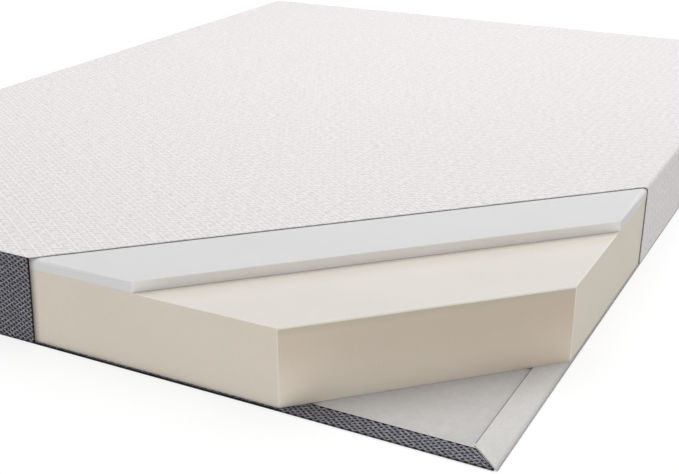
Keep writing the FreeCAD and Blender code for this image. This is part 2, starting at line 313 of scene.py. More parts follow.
def plainCloth(name, values):
    n = Finish(name)
    spot, across, along = n.cloth()
    if values.get("twill"):
        lines = n.wave(n.plus(across, along), values["weave"])
    else:
        lines = n.times(n.wave(across, values["weave"]), n.wave(along, values["weave"]))
    grain = n.noise(n.vector(n.times(across, 90), n.times(along, 420)), 1.0, 3)
    mottle = n.ramp(n.noise(spot, 45, 3), 0.3, 0.7)
    share = n.plus(n.times(n.ramp(lines, -1, 1), 0.5), n.times(mottle, 0.2))
    share = n.plus(share, n.times(n.ramp(grain, 0.35, 0.65), 0.3))
    colour = n.mix(share, scaled(values["colour"], 1 - values["contrast"]), values["colour"])
    if "edge" in values:
        reach = n.plus(along, n.times(n.minus(n.noise(spot, 300, 2), 0.5), 0.006))
        colour = n.mix(n.ramp(reach, -0.001, 0.008, 0.65, 0.0), colour, values["edge"])
    if "rim" in values:
        colour = n.mix(n.ramp(n.stored("rim"), 0.15, 0.95), colour, values["rim"])
        colour = n.mix(n.ramp(n.stored("rim"), 1.2, 1.8), colour, values["seam"])
    normal = n.bump(lines, 0.0002, 0.5, n.bump(grain, 0.0003, 0.4))
    return n.finish(colour, normal, roughness=values.get("rough", 0.9))


clothLooks = {
    # the lining is a real layer; its dark grey makes the dark line along the cover's cut edge, painted shade
    "lining": {"colour": (0.19, 0.185, 0.19), "weave": 0.0012, "contrast": 0.2},
    "bottom": {"colour": (0.71, 0.695, 0.685), "weave": 0.0034, "contrast": 0.2, "twill": True},
    "hem": {"colour": (0.79, 0.775, 0.76), "weave": 0.0022, "contrast": 0.16, "edge": (0.44, 0.435, 0.43),
            "rim": (0.38, 0.375, 0.365), "seam": (0.09, 0.08, 0.075)},
    "backing": {"colour": (0.90, 0.89, 0.88), "weave": 0.0018, "contrast": 0.05},
    "tape": {"colour": (0.11, 0.11, 0.118), "weave": 0.0011, "contrast": 0.45},
    "label": {"colour": (0.84, 0.84, 0.83), "weave": 0.0006, "contrast": 0.05, "rough": 0.6},
}
foamLooks = {  # the three strengths for the shade under the top edge, beside the soft layer and towards the far end say how strongly the painted shades below show; glow: weight and depth
    "core": {
        "top": (0.815, 0.775, 0.725), "side": (0.81, 0.738, 0.636), "cut": (0.76, 0.66, 0.545),
        # low: a lighter colour for the bottom of the cut face, painted light
        "low": (0.97, 0.875, 0.75), "edge": (0.95, 0.915, 0.85), "topEdgeShade": 0.5, "layerShade": 0.48, "end": 0.42,
        # edge: painted highlight on the rounded edges
        "height": coreHigh.z, "pores": 900, "depth": 0.0004, "glow": (0.5, 0.005),
    },
    "memory": {
        # the side and cut faces of this one foam are lighter than its top: painted light
        "top": (0.763, 0.763, 0.768), "side": (0.815, 0.81, 0.81), "cut": (0.97, 0.945, 0.91),
        "low": (0.97, 0.945, 0.91), "edge": (0.90, 0.90, 0.90), "topEdgeShade": 0.0, "layerShade": 0.0, "end": 0.0,
        "height": memoryHigh.z, "pores": 1500, "depth": 0.0002, "glow": (0.3, 0.002),
    },
}
foamTones = {
    "farEndShade": (0.55, 0.45, 0.35),  # painted shade, darker towards the right end of the cut face
    "topEdgeShade": (0.60, 0.57, 0.45),  # painted shade just under the top edge of the cut face
    "layerShade": (0.50, 0.43, 0.34),  # painted shade on the core's top, beside the soft layer
    "pore": (0.35, 0.31, 0.26),
    "stain": (0.58, 0.53, 0.44),
    "paintedWallShade": (0.22, 0.21, 0.16),  # painted shade on the foot face beside the cut edge of the end wall
    "cutFace": (1.05, 1.38),  # facing across minus along, from beside the cut face to on it
}


def cutFoam(name, values):
    n = Finish(name)
    spot = n.place()
    x, y, z = n.split(spot)
    facing, tones, top = n.facing(), foamTones, values["height"]
    toCut, diagonal = n.minus(facing[0], facing[1]), n.minus(x, y)
    # lighter towards the bottom of the cut face: painted light
    cut = n.mix(n.ramp(z, 0.0, 0.11), values["low"], values["cut"])
    # darker towards the right end of the cut face: painted shade
    cut = n.mix(n.ramp(x, 0.55, 0.78, 0.0, values["end"]), cut, tones["farEndShade"])
    # faces turned towards +x darkened: painted shade
    colour = n.mix(n.ramp(facing[0], 0.75, 0.98), values["side"], scaled(values["side"], 0.91))
    onCut = n.times(n.ramp(toCut, *tones["cutFace"]), n.ramp(facing[0], 0.95, 0.80))
    colour = n.mix(n.ramp(facing[2], 0.35, 0.95), n.mix(onCut, colour, cut), values["top"])
    # painted shade just under the top edge of the cut face
    topEdgeShade = n.times(n.ramp(z, top - 0.018, top - 0.006), n.ramp(toCut, 1.28, 1.41))
    colour = n.mix(n.times(topEdgeShade, values["topEdgeShade"]), colour, tones["topEdgeShade"])
    # painted shade on the core's top beside the soft layer
    beside = n.ramp(n.minus(diagonal, memoryCut), -0.02, 0.085, values["layerShade"], 0.0)
    colour = n.mix(n.times(beside, n.ramp(facing[2], 0.5, 0.95)), colour, tones["layerShade"])
    # painted highlight on the rounded edges
    flat = n.times(n.math("ABSOLUTE", toCut), math.sqrt(0.5))  # 1 on the flat faces, less on the edges
    for side in facing:
        flat = n.math("MAXIMUM", flat, n.math("ABSOLUTE", side))
    colour = n.mix(n.ramp(flat, 0.94, 0.995, 0.85, 0.0), colour, values["edge"])
    pores = n.noise(spot, values["pores"], 3, 0.6)
    colour = n.mix(n.ramp(pores, 0.48, 0.33, 0.0, 0.12), colour, tones["pore"])
    colour = n.mix(n.ramp(n.noise(spot, 7, 4), 0.35, 0.7, 0.0, 0.07), colour, tones["stain"])
    # painted shade on the foam's foot face beside the cut edge of the end wall
    beyond = n.minus(n.minus(diagonal, coverCut), n.times(z, 0.04))
    paintedWallShade = n.times(n.ramp(beyond, -0.014, 0.000, 0.55, 0.0), n.ramp(facing[1], -0.95, -0.7, 1.0, 0.0))
    colour = n.mix(paintedWallShade, colour, tones["paintedWallShade"])
    weight, depth = values["glow"]
    glow = {"Subsurface_Weight": weight, "Subsurface_Radius": (1.0, 0.9, 0.8), "Subsurface_Scale": depth}
    return n.finish(colour, n.bump(pores, values["depth"], 0.5), roughness=1.0, specular=0.1, **glow)


def hardFinish(name, colour, metallic, roughness, scratch):
    n = Finish(name)
    spot = n.place()
    marks = n.noise(spot, 900, 4, 0.7)
    worn = n.ramp(n.noise(spot, 260, 3), 0.5, 0.72)
    rough = n.ramp(marks, 0.3, 0.7, roughness * 0.8, min(1.0, roughness * 1.3))
    tone = n.mix(n.times(worn, scratch), colour, scaled(colour, 1.8))
    return n.finish(tone, n.bump(marks, 0.00003, 0.5), roughness=rough, specular=0.5, Metallic=metallic)


materials = {name: plainCloth(f"{name}Cloth", values) for name, values in clothLooks.items()}
materials.update({name: cutFoam(f"{name}Foam", values) for name, values in foamLooks.items()})
materials.update({
    "knit": whiteKnit(knitLook),
    "mesh": greyMesh(meshLook),
    "coil": hardFinish("coilNylon", (0.075, 0.075, 0.082), 0.0, 0.35, 0.2),
    "metal": hardFinish("darkNickel", (0.24, 0.24, 0.25), 1.0, 0.32, 0.5),
    "thread": hardFinish("sewingThread", (0.62, 0.62, 0.62), 0.0, 0.75, 0.1),
    "adhesive": hardFinish("adhesiveFilm", (0.72, 0.70, 0.62), 0.0, 0.45, 0.1),
})
print("materials made")


class Shape(Tree):  # a Geometry Nodes tree: named inputs, then one shape, realized and with its finish
    def __init__(self, name, inputs):
        super().__init__(bpy.data.node_groups.new(name, "GeometryNodeTree"))
        ports = self.tree.interface
        ports.new_socket(name="Shape", in_out="INPUT", socket_type="NodeSocketGeometry")
        for label, kind in inputs.items():
            ports.new_socket(name=label, in_out="INPUT", socket_type=f"NodeSocket{kind}")
        ports.new_socket(name="Finish", in_out="INPUT", socket_type="NodeSocketMaterial")
        ports.new_socket(name="Shape", in_out="OUTPUT", socket_type="NodeSocketGeometry")
        self.given = self.add("NodeGroupInput").outputs

    def stored(self, name):
        inputs = {"Name": name}
        return self.add("GeometryNodeInputNamedAttribute", inputs, data_type="FLOAT").outputs["Attribute"]

    def end(self, geometry):
        real = self.add("GeometryNodeRealizeInstances", {0: geometry}).outputs[0]
        finish = self.add("GeometryNodeSetMaterial", {"Geometry": real, "Material": self.given["Finish"]})
        self.add("NodeGroupOutput", {0: finish.outputs[0]})
        return self.tree


def applyShape(piece, tree, **values):  # run the tree on the piece and keep the plain mesh
    values["Finish"] = piece.data.materials[0]
    modifier = piece.modifiers.new(tree.name, "NODES")
    modifier.node_group = tree
    for port in tree.interface.items_tree:
        key = port.name.replace(" ", "_")
        if port.in_out == "INPUT" and key in values:
            modifier[port.identifier] = values[key]
    ready = piece.evaluated_get(bpy.context.evaluated_depsgraph_get())
    made = bpy.data.meshes.new_from_object(ready)
    piece.modifiers.remove(modifier)
    before, piece.data = piece.data, made
    bpy.data.meshes.remove(before)
    made.name = piece.name
    return piece


def reliefShape(name, heightOf):  # lifts a cloth along its normals by a pattern and a slow unevenness
    sizes = ("Cell across", "Cell along", "Height", "Sway", "Sway length")
    n = Shape(name, {label: "Float" for label in sizes})
    given = n.given
    raised = heightOf(n, n.stored("across"), n.stored("along"), given["Cell across"], given["Cell along"])
    place = n.add("GeometryNodeInputPosition").outputs[0]
    slow = n.noise(place, n.math("DIVIDE", 1.0, given["Sway length"]), 1.0)
    slow = n.times(n.minus(slow, 0.5), given["Sway"])
    lift = n.plus(n.times(raised, given["Height"]), slow)
    lift = n.times(lift, n.stored("raise"))
    normal = n.add("GeometryNodeInputNormal").outputs[0]
    offset = n.add("ShaderNodeVectorMath", {0: normal, "Scale": lift}, operation="SCALE").outputs[0]
    moved = n.add("GeometryNodeSetPosition", {"Geometry": given["Shape"], "Offset": offset})
    return n.end(moved.outputs[0])


def knitHeight(n, *places):
    ridge, groove, dot = diamonds(n, *places)
    return n.plus(n.minus(ridge, n.times(groove, 0.5)), n.times(dot, 0.5))


def meshHeight(n, *places):
    pit, rise = pits(n, *places)
    return n.minus(n.times(rise, 0.25), pit)


def rowShape():  # repeats a small shape along a straight row
    n = Shape("shapeRow", {"Count": "Int", "Start": "Vector", "Step": "Vector"})
    inputs = {"Count": n.given["Count"], "Start Location": n.given["Start"], "Offset": n.given["Step"]}
    line = n.add("GeometryNodeMeshLine", inputs, mode="OFFSET").outputs[0]
    copies = n.add("GeometryNodeInstanceOnPoints", {"Points": line, "Instance": n.given["Shape"]})
    return n.end(copies.outputs[0])


knitShape, pitShape = reliefShape("knitRelief", knitHeight), reliefShape("meshRelief", meshHeight)
rowsShape = rowShape()
print("shape trees made")

flatSizes = {}  # each sheet's flat width, length and area


def endPiece(work, mesh, look, sharp):  # faces outward, and edges sharp from that many degrees
    bmesh.ops.recalc_face_normals(work, faces=work.faces)
    for edge in work.edges:
        edge.smooth = len(edge.link_faces) == 2 and edge.calc_face_angle() < math.radians(sharp)
    for face in work.faces:
        face.smooth = True
    work.to_mesh(mesh)
    work.free()
    mesh.materials.append(materials[look])
    return addObject(mesh.name, mesh)


def meshPiece(name, verts, faces, look, spots=None, stored=None, sharp=40):
    mesh = bpy.data.meshes.new(name)
    mesh.from_pydata(verts, [], faces)
    for label, values in (stored or {}).items():
        mesh.attributes.new(label, "FLOAT", "POINT").data.foreach_set("value", values)
    work = bmesh.new()
    work.from_mesh(mesh)
    if spots:
        layer = work.loops.layers.uv.new("cloth")
        for face in work.faces:
            for loop in face.loops:
                loop[layer].uv = spots[loop.vert.index]
    return endPiece(work, mesh, look, sharp)


plainRim = (0.0, 0.0, 0.0)


def clothSheet(name, look, columns, span, step, point, thick, rim=plainRim, flatFrom=-9.0, fold=None):
    # columns: places across the cloth; span(across, lift): where it starts and ends along
    # point: its place in the room; rim: how much of the edge finish its start, end and sides take
    # no relief before flatFrom, and fold(across) of the edge finish there
    verts, spots, stored, faces = [], [], {"across": [], "along": [], "raise": [], "rim": []}, []

    def add(across, along, lift, raised, edge):
        verts.append(point(across, along, lift))
        spots.append((across, along))
        for label, value in zip(stored, (across, along, raised, edge)):
            stored[label].append(value)
        return len(verts) - 1

    def rimOf(index, across):
        return rim[index](across) if callable(rim[index]) else rim[index]

    front, under, area = [], [], 0.0
    for index, across in enumerate(columns):
        border = index in (0, len(columns) - 1)
        start, end = span(across, 0.0)
        first, last = math.floor(start / step + 0.25) + 1, math.ceil(end / step - 0.25) - 1
        edges = [max(rimOf(k, across), rim[2] * border) for k in (0, 1)]
        rows = []
        for row in range(first, last + 1):
            raised, edge = 0.0 if border else 1.0, rim[2] * border
            if row * step < flatFrom:
                raised, edge = 0.0, fold(across)
            elif row == last and edges[1] == 1.0:
                edge = 1.0
            rows.append(add(across, row * step, 0.0, raised, edge))
        line = [add(across, start, 0, 0, edges[0]), *rows, add(across, end, 0, 0, edges[1])]
        front.append((line, first, last, end - start))
        backs = span(across, -thick)
        under.append([add(across, backs[k], -thick, 0, edges[k]) for k in (0, 1)])

    for index in range(len(columns) - 1):
        lineA, firstA, lastA, longA = front[index]
        lineB, firstB, lastB, longB = front[index + 1]
        area += (longA + longB) / 2 * (columns[index + 1] - columns[index])
        low, high = max(firstA, firstB), min(lastA, lastB)
        if low > high:
            faces.append(lineA + lineB[::-1])
        else:
            faces.append(lineA[:low - firstA + 2] + lineB[:low - firstB + 2][::-1])
            for row in range(low, high):
                a, b = row - firstA + 1, row - firstB + 1
                faces.append([*lineA[a:a + 2], *lineB[b:b + 2][::-1]])
            faces.append(lineA[high - firstA + 1:] + lineB[high - firstB + 1:][::-1])
        underA, underB = under[index], under[index + 1]
        faces.append([underA[0], underB[0], underB[1], underA[1]])
        faces.append([lineA[0], lineB[0], underB[0], underA[0]])
        faces.append([lineA[-1], lineB[-1], underB[1], underA[1]])
    for k in (0, -1):
        faces.append([*front[k][0], under[k][1], under[k][0]])
    flatSizes[name] = (columns[-1] - columns[0], max(column[3] for column in front), area)
    return meshPiece(name, verts, faces, look, spots, stored)


def spread(low, high, step, *extra):  # multiples of step between low and high, with the ends and extras
    inner = [k * step for k in range(math.ceil(low / step), math.floor(high / step) + 1)]
    wanted = sorted([low, high, *extra])
    inner = [value for value in inner if min(abs(value - w) for w in wanted) > 0.2 * step]
    return sorted(wanted + inner)


def smooth(value, low, high):
    share = min(1.0, max(0.0, (value - low) / (high - low)))
    return share * share * (3 - 2 * share)


def uneven(value, length, height, row=0.0):
    return height * noise.noise(Vector((value / length, row, 0.37)))


# the knit and its lining go over the top and down both long sides, each in one piece
wrapSet = {
    "radius": 0.009, "thick": 0.0014,
    "relief": {"Cell_across": knitLook["cell"][0], "Cell_along": knitLook["cell"][1], "Height": 0.0004,
               "Sway": 0.0016, "Sway_length": 0.12},
    "lean": 0.008,  # how far the cut edge runs forward at the foot of a side
    "wander": 0.0007,
    "liningStep": (0.05, 0.05), "liningThick": 0.0006,
    "liningBack": -0.0012,  # how much nearer the cut it comes than the knit
}


def wrapSheet(look, radius, top, half, ends, step, thick, drawnBack=0.0):
    flat, arc = half - radius, radius * math.pi / 2
    edge = flat + arc + top - radius - hemTop

    def point(across, along, lift):
        side, reach = (1 if across > 0 else -1), abs(across)
        if reach <= flat:
            return (across, along, top + lift)
        if reach <= flat + arc:
            turn = (reach - flat) / radius
            out = flat + (radius + lift) * math.sin(turn)
            return (side * out, along, top - radius + (radius + lift) * math.cos(turn))
        return (side * (half + lift), along, top - radius - (reach - flat - arc))

    def span(across, lift):
        x, y, z = point(across, 0, 0)
        start = x - coverCut - wrapSet["lean"] * max(0.0, 1 - z / (top - radius)) + drawnBack
        return max(ends[0], start + uneven(across, 0.05, wrapSet["wander"])) if x > 0 else ends[0], ends[1]

    arcPlaces = [side * (flat + arc * k / 6) for side in (-1, 1) for k in range(7)]
    columns = spread(-edge, edge, step[0], *arcPlaces, coverCut + ends[0])
    return clothSheet(f"top_cover_{look}_cloth", look, columns, span, step[1], point, thick)


knitStep = (knitLook["cell"][0] / 4, knitLook["cell"][1] / 4)
knit = wrapSheet("knit", wrapSet["radius"], coverTop, halfWidth, (-halfLength, halfLength), knitStep,
                 wrapSet["thick"])
applyShape(knit, knitShape, **wrapSet["relief"])
lining = wrapSheet("lining", wrapSet["radius"] - wrapSet["thick"], liningHigh.z, liningHigh.x,
                   (liningLow.y, liningHigh.y), wrapSet["liningStep"], wrapSet["liningThick"],
                   wrapSet["liningBack"])
print("knit and lining made", len(knit.data.polygons))

# grey mesh: end walls and end hems
meshSet = {
    "fine": 6,  # steps in each of its cells
    "relief": {"Cell_across": meshLook["cell"][0], "Cell_along": meshLook["cell"][1], "Height": 0.0011,
               "Sway": 0.0006, "Sway_length": 0.09},
    "lean": (0.004, 0.006),  # how far the foot wall's cut edge stays back, and how much more at its foot
}
meshStep = (meshLook["cell"][0] / meshSet["fine"], meshLook["cell"][1] / meshSet["fine"])


def endWall(node, outward, rim):
    low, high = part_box(node)
    thick = high.y - low.y
    face = high.y if outward > 0 else low.y
    rounding = wrapSet["radius"] - wrapSet["thick"] if high.z > coverTop - 0.01 else 0
    cutHere = outward < 0
    right = coverCut + low.y - meshSet["lean"][0] if cutHere else high.x

    def point(across, along, lift):
        if cutHere and across > right - 0.05:  # the cut edge leans
            share = (across - right + 0.05) / 0.05
            across -= share * (meshSet["lean"][1] * (1 - along / coverTop) - uneven(along, 0.03, 0.0008))
        return (across, face + outward * lift, along)

    def span(across, lift):
        inset = max(0.0, rounding - (across - low.x), 0 if cutHere else rounding - (high.x - across))
        top = high.z - rounding + math.sqrt(max(0.0, rounding**2 - inset**2)) if rounding else high.z
        return low.z, top

    columns = spread(low.x, right, meshStep[0])
    wall = clothSheet(f"{node}_mesh", "mesh", columns, span, meshStep[1], point, thick, rim)
    return applyShape(wall, pitShape, **meshSet["relief"])


footWall = endWall("foot_panel", -1, (0.5, 1.0, 0.6))
headLower = endWall("head_panel_lower", 1, (0.5, 0.6, 0.0))
headUpper = endWall("head_panel_upper", 1, (0.6, 1.0, 0.0))
print("mesh walls made")

hemSet = {
    "backingShort": 0.005,  # how much narrower the white backing is than its solid
    "lap": 0.0012, "lapRise": 0.0003,  # of the side strips over the end strips
    "wrap": 0.0018, "wrapOut": 0.0004,  # the fold over the edges below
    "roll": 0.008, "rollDrop": 0.0017,  # of a side strip's outer edge
    "sideStep": (0.004, 0.002),
}


def foldEdgeAndShade(across):  # a dark folded edge, darkest where the core's foot face stands over it with the cover cut away: painted shade there
    if across < coverCut - halfLength - 0.012:
        return 0.45
    return 1.0 if across < coreCut + coreLow.y else 0.55


def endHem(node, look, step, side, rim, wrapped=True, short=0.0):  # side: -1 foot, 1 head
    low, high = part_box(node)
    top, width, thick = high.z, high.y - low.y - short, high.z - low.z
    outer = low.y if side < 0 else high.y

    def point(across, along, lift):
        if along < 0:  # folded down over the edges below it
            return (across, outer + side * (hemSet["wrapOut"] + lift + thick), top + along)
        return (across, outer - side * along, top + lift)

    def span(across, lift):
        start = -hemSet["wrap"] if wrapped else 0.0
        return start, min(width, max(0.0006, (high.x - abs(across)) / hemSlope))

    corner = high.x - width * hemSlope
    columns = spread(low.x + 0.0005, high.x - 0.0005, step[0], corner, -corner)
    name, flatFrom = (f"{node}_mesh", 0.0005) if wrapped else (f"{node}_cloth", -9.0)
    return clothSheet(name, look, columns, span, step[1], point, thick, rim, flatFrom, foldEdgeAndShade)


def sideHem(node, side):  # its outer edge rolls down, and its inner edge is a seam
    low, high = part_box(node)
    top, thick, width = high.z, high.z - low.z, high.x - low.x
    outer = high.x if side > 0 else low.x

    def point(across, along, lift):
        drop = hemSet["rollDrop"] * max(0.0, 1 - along / hemSet["roll"]) ** 2
        sway = uneven(across, 0.07, 0.0004, along / 0.03) if along > hemSet["roll"] and lift == 0 else 0.0
        return (outer - side * along, across, top + (lift if lift < 0 else hemSet["lapRise"] - drop) + sway)

    def span(across, lift):
        rough = abs(uneven(across, 0.006, 0.0012)) + abs(uneven(across, 0.04, 0.0006, 3.1))
        return rough, min(width, max(0.002, (high.y + hemSet["lap"] - abs(across)) * hemSlope))

    corner = high.y - width / hemSlope
    columns = spread(low.y + 0.0015, high.y - 0.0015, hemSet["sideStep"][0], corner, -corner)
    return clothSheet(f"{node}_cloth", "hem", columns, span, hemSet["sideStep"][1], point, thick,
                      (1.0, lambda across: 2.0 if abs(across) < corner else 0.0, 0.0))


footStrip = endHem("foot_hem_strip", "mesh", meshStep, -1, (1.0, 1.0, 0.8))
applyShape(footStrip, pitShape, **meshSet["relief"])
headStrip = endHem("head_hem_strip", "mesh", (0.05, 0.01), 1, (0.45, 1.0, 0.8))
footBacking = endHem("foot_hem_backing", "backing", (0.02, 0.01), -1, plainRim, False, hemSet["backingShort"])
headBacking = endHem("head_hem_backing", "backing", (0.05, 0.01), 1, plainRim, False, hemSet["backingShort"])
rightStrip, leftStrip = sideHem("side_hem_strip_right", 1), sideHem("side_hem_strip_left", -1)

bottomSet = {
    "step": 0.008,
    "rise": 0.0019, "from": 0.0486, "to": 0.057,  # how far it swells, and over what reach from a side
    "ends": 0.009,  # how much nearer it starts to at the ends
    "inset": 0.0009,
}


def bottomPoint(across, along, lift):  # swells a little between the hems
    inset = min(halfWidth - abs(across), halfLength - abs(along) + bottomSet["ends"])
    rise = bottomSet["rise"] * smooth(inset, bottomSet["from"], bottomSet["to"])
    return (across, along, bottomHigh.z + lift + rise)


bottomPlaces = [side * (halfWidth - bottomSet[key]) for side in (-1, 1) for key in ("from", "to")]
bottomEnd = halfLength - bottomSet["inset"]
bottom = clothSheet("bottom_panel_cloth", "bottom",
                    spread(bottomLow.x, bottomHigh.x, bottomSet["step"], *bottomPlaces),
                    lambda across, lift: (-bottomEnd, bottomEnd), bottomSet["step"], bottomPoint,
                    bottomHigh.z - bottomLow.z)
print("hems and bottom made")

# foams
foamSet = {
    "spacing": 0.025,
    "wander": (0.0003, 0.0007),  # unevenness of moulded and of cut faces
    "sides": (0.03, 0.2, 0.4, 0.6, 0.8, 0.97),  # levels of a side's rings
    "core": {"corner": 0.004, "cutCorner": 0.0040, "cutTop": 0.0044, "outerTop": 0.0026,
             "covered": 0.0006, "bottom": 0.0005},
    "memory": {"corner": 0.009, "cutCorner": 0.0016, "cutTop": 0.0016, "outerTop": 0.0085,
               "bottom": 0.0002},
    "sink": 0.0003, "proud": 0.00015,  # how far the soft layer comes lower and wider
}


def slabPlan(low, high, cut, values):
    # points round the slab: place, outward direction, corner centre, radius, mitre
    cutEnds = [(cut + low.y, low.y), (high.x, high.x - cut)]
    corners = [Vector(corner) for corner in ((low.x, high.y), (low.x, low.y), *cutEnds, (high.x, high.y))]
    radii = [values["corner"], values["corner"], values["cutCorner"], values["cutCorner"], values["corner"]]
    plan, count = [], len(corners)
    for k, corner in enumerate(corners):
        before, after = corner - corners[k - 1], corners[(k + 1) % count] - corner
        length, half = after.length, before.angle(after) / 2
        before.normalize(), after.normalize()
        outBefore, outAfter = Vector((before.y, -before.x)), Vector((after.y, -after.x))
        mitre = (outBefore + outAfter).normalized() / math.cos(half)
        centre = corner - mitre * radii[k]
        for step in range(7):
            out = outBefore.lerp(outAfter, step / 6).normalized()
            plan.append((centre + out * radii[k], out, centre, radii[k], mitre))
        nextTurn = after.angle(corners[(k + 2) % count] - corners[(k + 1) % count])
        reach = radii[k] * math.tan(half)
        run = length - reach - radii[(k + 1) % count] * math.tan(nextTurn / 2)
        steps = max(2, round(run / foamSet["spacing"]))
        for place in (0.003, *[run * step / steps for step in range(1, steps)], run - 0.003):
            plan.append((corner + after * (reach + place), outAfter, None, 0.0, None))
    return plan


def inward(spot, depth):  # a plan point moved in by depth, keeping the corners mitred
    point, out, centre, radius, mitre = spot
    if centre is None:
        return point - out * depth
    return centre + out * max(radius - depth, 0.0) - mitre * max(depth - radius, 0.0)


def foamSlab(name, low, high, cut, look):
    values = foamSet[look]
    plan = slabPlan(low, high, cut, values)

    def topRadius(point, out):
        radius, outer = values["cutTop"], values["outerTop"]
        if out.x - out.y > 1.3:
            return radius
        if "covered" in values:  # sharp where the other foam lies on it
            bare = smooth(point.x - point.y - memoryCut, 0.004, 0.03)
            return values["covered"] + (outer - values["covered"]) * bare
        return radius + (outer - radius) * smooth(cut - point.x + point.y, 0.0, 0.16)

    tops = [topRadius(spot[0], spot[1]) for spot in plan]
    base, wall = values["bottom"], high.z - low.z - values["bottom"]
    verts, rings = [], []

    def addRing(kind, share, extra=0.0):
        turn = share * math.pi / 2
        rings.append(list(range(len(verts), len(verts) + len(plan))))
        for spot, top in zip(plan, tops):
            if kind == "bottom":
                z, depth = low.z + base * (1 - math.cos(turn)), base * (1 - math.sin(turn))
            elif kind == "side":
                z, depth = low.z + base + share * (wall - top), 0.0
            else:
                z, depth = high.z - top * (1 - math.sin(turn)), top * (1 - math.cos(turn))
            size = foamSet["wander"][1 if spot[1].x - spot[1].y > 1.3 else 0]
            place = inward(spot, depth + extra)
            sway = spot[1] * size * noise.noise(Vector((place.x * 9, place.y * 9, z * 25)))
            verts.append((place.x + sway.x, place.y + sway.y, z))

    addRing("bottom", 0.0, 0.003)
    for k in range(5):
        addRing("bottom", k / 4)
    for share in foamSet["sides"]:
        addRing("side", share)
    for k in range(7):
        addRing("top", k / 6)
    addRing("top", 1.0, 0.003)
    count = len(plan)
    faces = [rings[0][::-1], rings[-1]]
    for lower, upper in zip(rings, rings[1:]):
        for k in range(count):
            faces.append([lower[k], lower[(k + 1) % count], upper[(k + 1) % count], upper[k]])
    slab = meshPiece(name, verts, faces, look, sharp=60)
    slab.modifiers.new("evenShade", "WEIGHTED_NORMAL").keep_sharp = True
    return slab


core = foamSlab("core_foam_block", coreLow, coreHigh, coreCut, "core")
proud = Vector((foamSet["proud"], foamSet["proud"], 0))
memory = foamSlab("memory_foam_layer", memoryLow - proud - Vector((0, 0, foamSet["sink"])),
                  memoryHigh + proud, memoryCut, "memory")
print("foams made")

# zip: tapes, coils, stops, slider and pull tab
zipSet = {
    "pitch": 0.0016,  # of the teeth
    "tooth": {"radius": 0.00034, "sides": 5, "slant": 0.00022, "margin": 0.0008},
    "rim": 0.0003,  # rounding of the metal parts
    "edge": 0.0012,  # of the slider's plates beyond its middle, at the narrow end
    "blade": {"start": 0.00095, "neck": 0.0034, "hole": (0.0195, 0.0016), "points": 40},
}


def tapeSheet(node):
    low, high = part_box(node)
    columns, span = spread(low.x, high.x, 0.05), lambda across, lift: (low.z, high.z)
    return clothSheet(f"{node}_cloth", "tape", columns, span, 0.004,
                      lambda across, along, lift: (across, high.y + lift, along), high.y - low.y)


def tubeMesh(name, path, radius, sides, look):  # a round bar along the path's points, with capped ends
    verts, faces, path = [], [], [Vector(point) for point in path]
    for k, point in enumerate(path):
        heading = (path[min(k + 1, len(path) - 1)] - path[max(k - 1, 0)]).normalized()
        across = heading.cross(Vector((1, 0, 0.02))).normalized()
        other = heading.cross(across)
        for side in range(sides):
            angle = 2 * math.pi * side / sides
            verts.append(point + (across * math.cos(angle) + other * math.sin(angle)) * radius)
    for k in range(len(path) - 1):
        for side in range(sides):
            here, following = k * sides + side, k * sides + (side + 1) % sides
            faces.append([here, following, following + sides, here + sides])
    faces += [list(range(sides))[::-1], [len(verts) - sides + side for side in range(sides)]]
    return meshPiece(name, verts, faces, look, sharp=75)


def coilRow(node, side, offset):  # side: 1 upper, -1 lower; teeth loop towards the middle of the zip
    low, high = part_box(node)
    r, slant, margin = (zipSet["tooth"][key] for key in ("radius", "slant", "margin"))
    outer, inner = (high.z, low.z) if side > 0 else (low.z, high.z)
    deep, shallow = low.y + r, high.y - r
    path = [(-slant, deep, outer - side * r * 2), (-slant, shallow - 0.0002, outer - side * r * 1.2),
            (-0.5 * slant, shallow, outer - side * 0.0012), (0, shallow, inner + side * r * 1.6),
            (0.3 * slant, (deep + shallow) / 2, inner + side * r), (slant, deep, inner + side * r * 1.8),
            (slant, deep, outer - side * 0.0012)]
    piece = tubeMesh(f"{node}_teeth", path, r, zipSet["tooth"]["sides"], "coil")
    first, last = low.x + margin + offset, high.x - margin
    return applyShape(piece, rowsShape, Count=int((last - first) / zipSet["pitch"]) + 1,
                      Start=(first, 0, 0), Step=(zipSet["pitch"], 0, 0))


def plateShape(work, outline, low, high, axis, rim):  # with rounded rims; axis: 1 along y, 2 along z
    rings = []
    for level in (low, high):
        places = [(a, level, b) if axis == 1 else (a, b, level) for a, b in outline]
        rings.append([work.verts.new(place) for place in places])
    made = [work.faces.new(rings[0]), work.faces.new(rings[1][::-1])]
    for k in range(len(outline)):
        made.append(work.faces.new([rings[0][k - 1], rings[1][k - 1], rings[1][k], rings[0][k]]))
    rims = [edge for face in made[:2] for edge in face.edges]
    bmesh.ops.bevel(work, geom=rims, offset=rim, segments=3, profile=0.5, affect="EDGES")


def arcPoints(centre, radius, start, end, steps):  # degrees
    turns = [math.radians(start + (end - start) * k / steps) for k in range(steps + 1)]
    return [(centre[0] + radius * math.cos(turn), centre[1] + radius * math.sin(turn)) for turn in turns]


def metalPiece(name, plates):
    work = bmesh.new()
    for outline, low, high, axis in plates:
        plateShape(work, outline, low, high, axis, min(zipSet["rim"], 0.3 * abs(high - low)))
    return endPiece(work, bpy.data.meshes.new(name), "metal", 35)


def box(lowA, highA, lowB, highB, radius):  # a rounded rectangle's outline
    spots = []
    for a, b, start in ((highA, highB, 0), (lowA, highB, 90), (lowA, lowB, 180), (highA, lowB, 270)):
        centre = (a - radius if a == highA else a + radius, b - radius if b == highB else b + radius)
        spots += arcPoints(centre, radius, start, start + 90, 4)
    return spots


